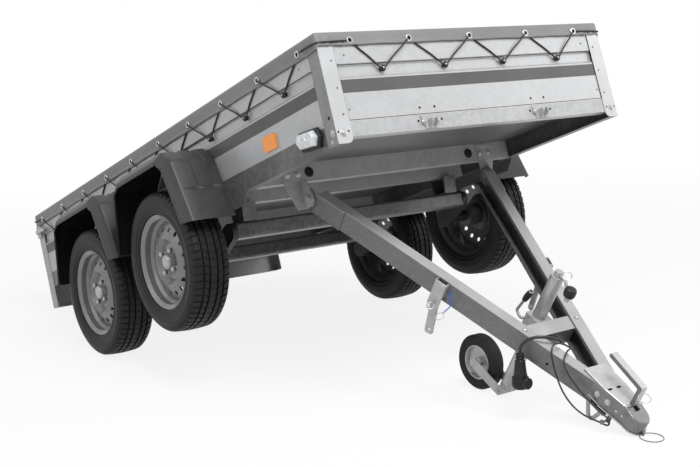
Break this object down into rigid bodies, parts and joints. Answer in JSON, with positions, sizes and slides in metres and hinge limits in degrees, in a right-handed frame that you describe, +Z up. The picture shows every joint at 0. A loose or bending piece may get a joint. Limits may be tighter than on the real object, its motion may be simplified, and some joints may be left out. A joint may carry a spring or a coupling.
{
  "type": "tipping box trailer",
  "caption": "Low twin-axle box trailer tipped back on its rear wheels, with a flat laced cover, hinged V drawbar, ball coupling, folded jockey wheel and a drop tailgate.",
  "frame": {"origin": "on the floor, under the middle of the whole trailer as it stands", "axes": "+X forward to the coupling, +Y to the left, +Z up"},
  "size_m": [3.326, 1.696, 1.2804],
  "materials": {
    "galvanised": "hot-dip galvanised",
    "zinc": "bright zinc plated",
    "floor_board": "film-faced board",
    "cover_sheet": "coated woven sheet",
    "guard_plastic": "grained",
    "black_plastic": "satin",
    "black_rubber": "matt",
    "tyre": "matt",
    "wheel_silver": "silver paint",
    "hub_black": "black paint",
    "red_lens": "gloss",
    "clear_lens": "gloss",
    "amber_lens": "gloss",
    "cable_black": "satin",
    "cable_blue": "satin"
  },
  "bodies": {
    "bed": {"bed_floor": "floor_board", "frame_side_rails": "galvanised", "frame_cross_members": "galvanised", "frame_front_rail": "galvanised", "wall_left": "galvanised", "wall_right": "galvanised", "wall_front": "galvanised", "corner_posts_front": "galvanised", "corner_posts_rear": "galvanised", "tail_panel": "galvanised", "tail_lamps": "red_lens", "tail_bumpers": "black_rubber", "gate_hinge_lugs": "galvanised", "gate_latches": "zinc", "cover": "cover_sheet", "lacing_buttons": "black_plastic", "marker_lamp_housings": "black_plastic", "marker_lamp_lenses": "clear_lens", "side_reflectors": "amber_lens", "axle_beams": "galvanised", "swing_arms": "hub_black", "axle_brackets": "galvanised", "mudguards": "guard_plastic", "mudguard_plates": "galvanised", "tilt_hinge_brackets": "galvanised", "lock_catches": "galvanised"},
    "tailgate": {"tailgate": "galvanised", "tailgate_leaves": "galvanised"},
    "drawbar": {"drawbar_ears": "galvanised", "drawbar_rail_left": "galvanised", "drawbar_rail_right": "galvanised", "drawbar_bridge": "galvanised", "drawbar_foot": "zinc", "coupling_body": "zinc", "coupling_handle": "zinc", "lock_brackets": "zinc", "lock_bars": "zinc", "jockey_outer_tube": "zinc", "jockey_clamp": "zinc", "jockey_crank": "zinc", "tow_plug": "black_plastic", "tow_cable": "cable_black", "safety_cable": "cable_black", "lock_lanyard": "cable_blue"},
    "jockey_slide": {"jockey_inner_tube": "zinc"},
    "jockey_fork": {"jockey_fork": "zinc"},
    "jockey_wheel": {"jockey_tyre": "black_rubber", "jockey_rim": "zinc"},
    "wheel_front_left": {"tyre_front_left": "tyre", "rim_front_left": "wheel_silver", "hub_front_left": "zinc"},
    "wheel_rear_left": {"tyre_rear_left": "tyre", "rim_rear_left": "wheel_silver", "hub_rear_left": "zinc"},
    "wheel_front_right": {"tyre_front_right": "tyre", "rim_front_right": "wheel_silver", "hub_front_right": "zinc"},
    "wheel_rear_right": {"tyre_rear_right": "tyre", "rim_rear_right": "wheel_silver", "hub_rear_right": "zinc"}
  },
  "joints": [
    {"name": "wheel_front_left_spin", "type": "hinge", "parent": "bed", "child": "wheel_front_left", "pos_m": [-0.0007, 0.745, 0.4736], "axis": [0, 1, 0], "continuous": true},
    {"name": "wheel_rear_left_spin", "type": "hinge", "parent": "bed", "child": "wheel_rear_left", "pos_m": [-0.63279, 0.745, 0.267], "axis": [0, 1, 0], "continuous": true},
    {"name": "wheel_front_right_spin", "type": "hinge", "parent": "bed", "child": "wheel_front_right", "pos_m": [-0.0007, -0.745, 0.4736], "axis": [0, 1, 0], "continuous": true},
    {"name": "wheel_rear_right_spin", "type": "hinge", "parent": "bed", "child": "wheel_rear_right", "pos_m": [-0.63279, -0.745, 0.267], "axis": [0, 1, 0], "continuous": true},
    {"name": "bed_tilt", "type": "hinge", "parent": "bed", "child": "drawbar", "pos_m": [0.43927, 0, 0.70472], "axis": [0, -1, 0], "range_deg": [0, 48.79]},
    {"name": "tailgate_drop", "type": "hinge", "parent": "bed", "child": "tailgate", "pos_m": [-1.58377, 0, 0.20236], "axis": [0, -1, 0], "range_deg": [0, 170]},
    {"name": "jockey_extend", "type": "slide", "parent": "drawbar", "child": "jockey_slide", "axis": [-0.5104, 0, -0.86], "range_m": [0, 0.2]},
    {"name": "jockey_unfold", "type": "hinge", "parent": "jockey_slide", "child": "jockey_fork", "pos_m": [0.97347, 0, 0.02549], "axis": [0, -1, 0], "range_deg": [0, 90]},
    {"name": "jockey_wheel_spin", "type": "hinge", "parent": "jockey_fork", "child": "jockey_wheel", "pos_m": [0.84791, 0, 0.1], "axis": [0, 1, 0], "continuous": true}
  ]
}
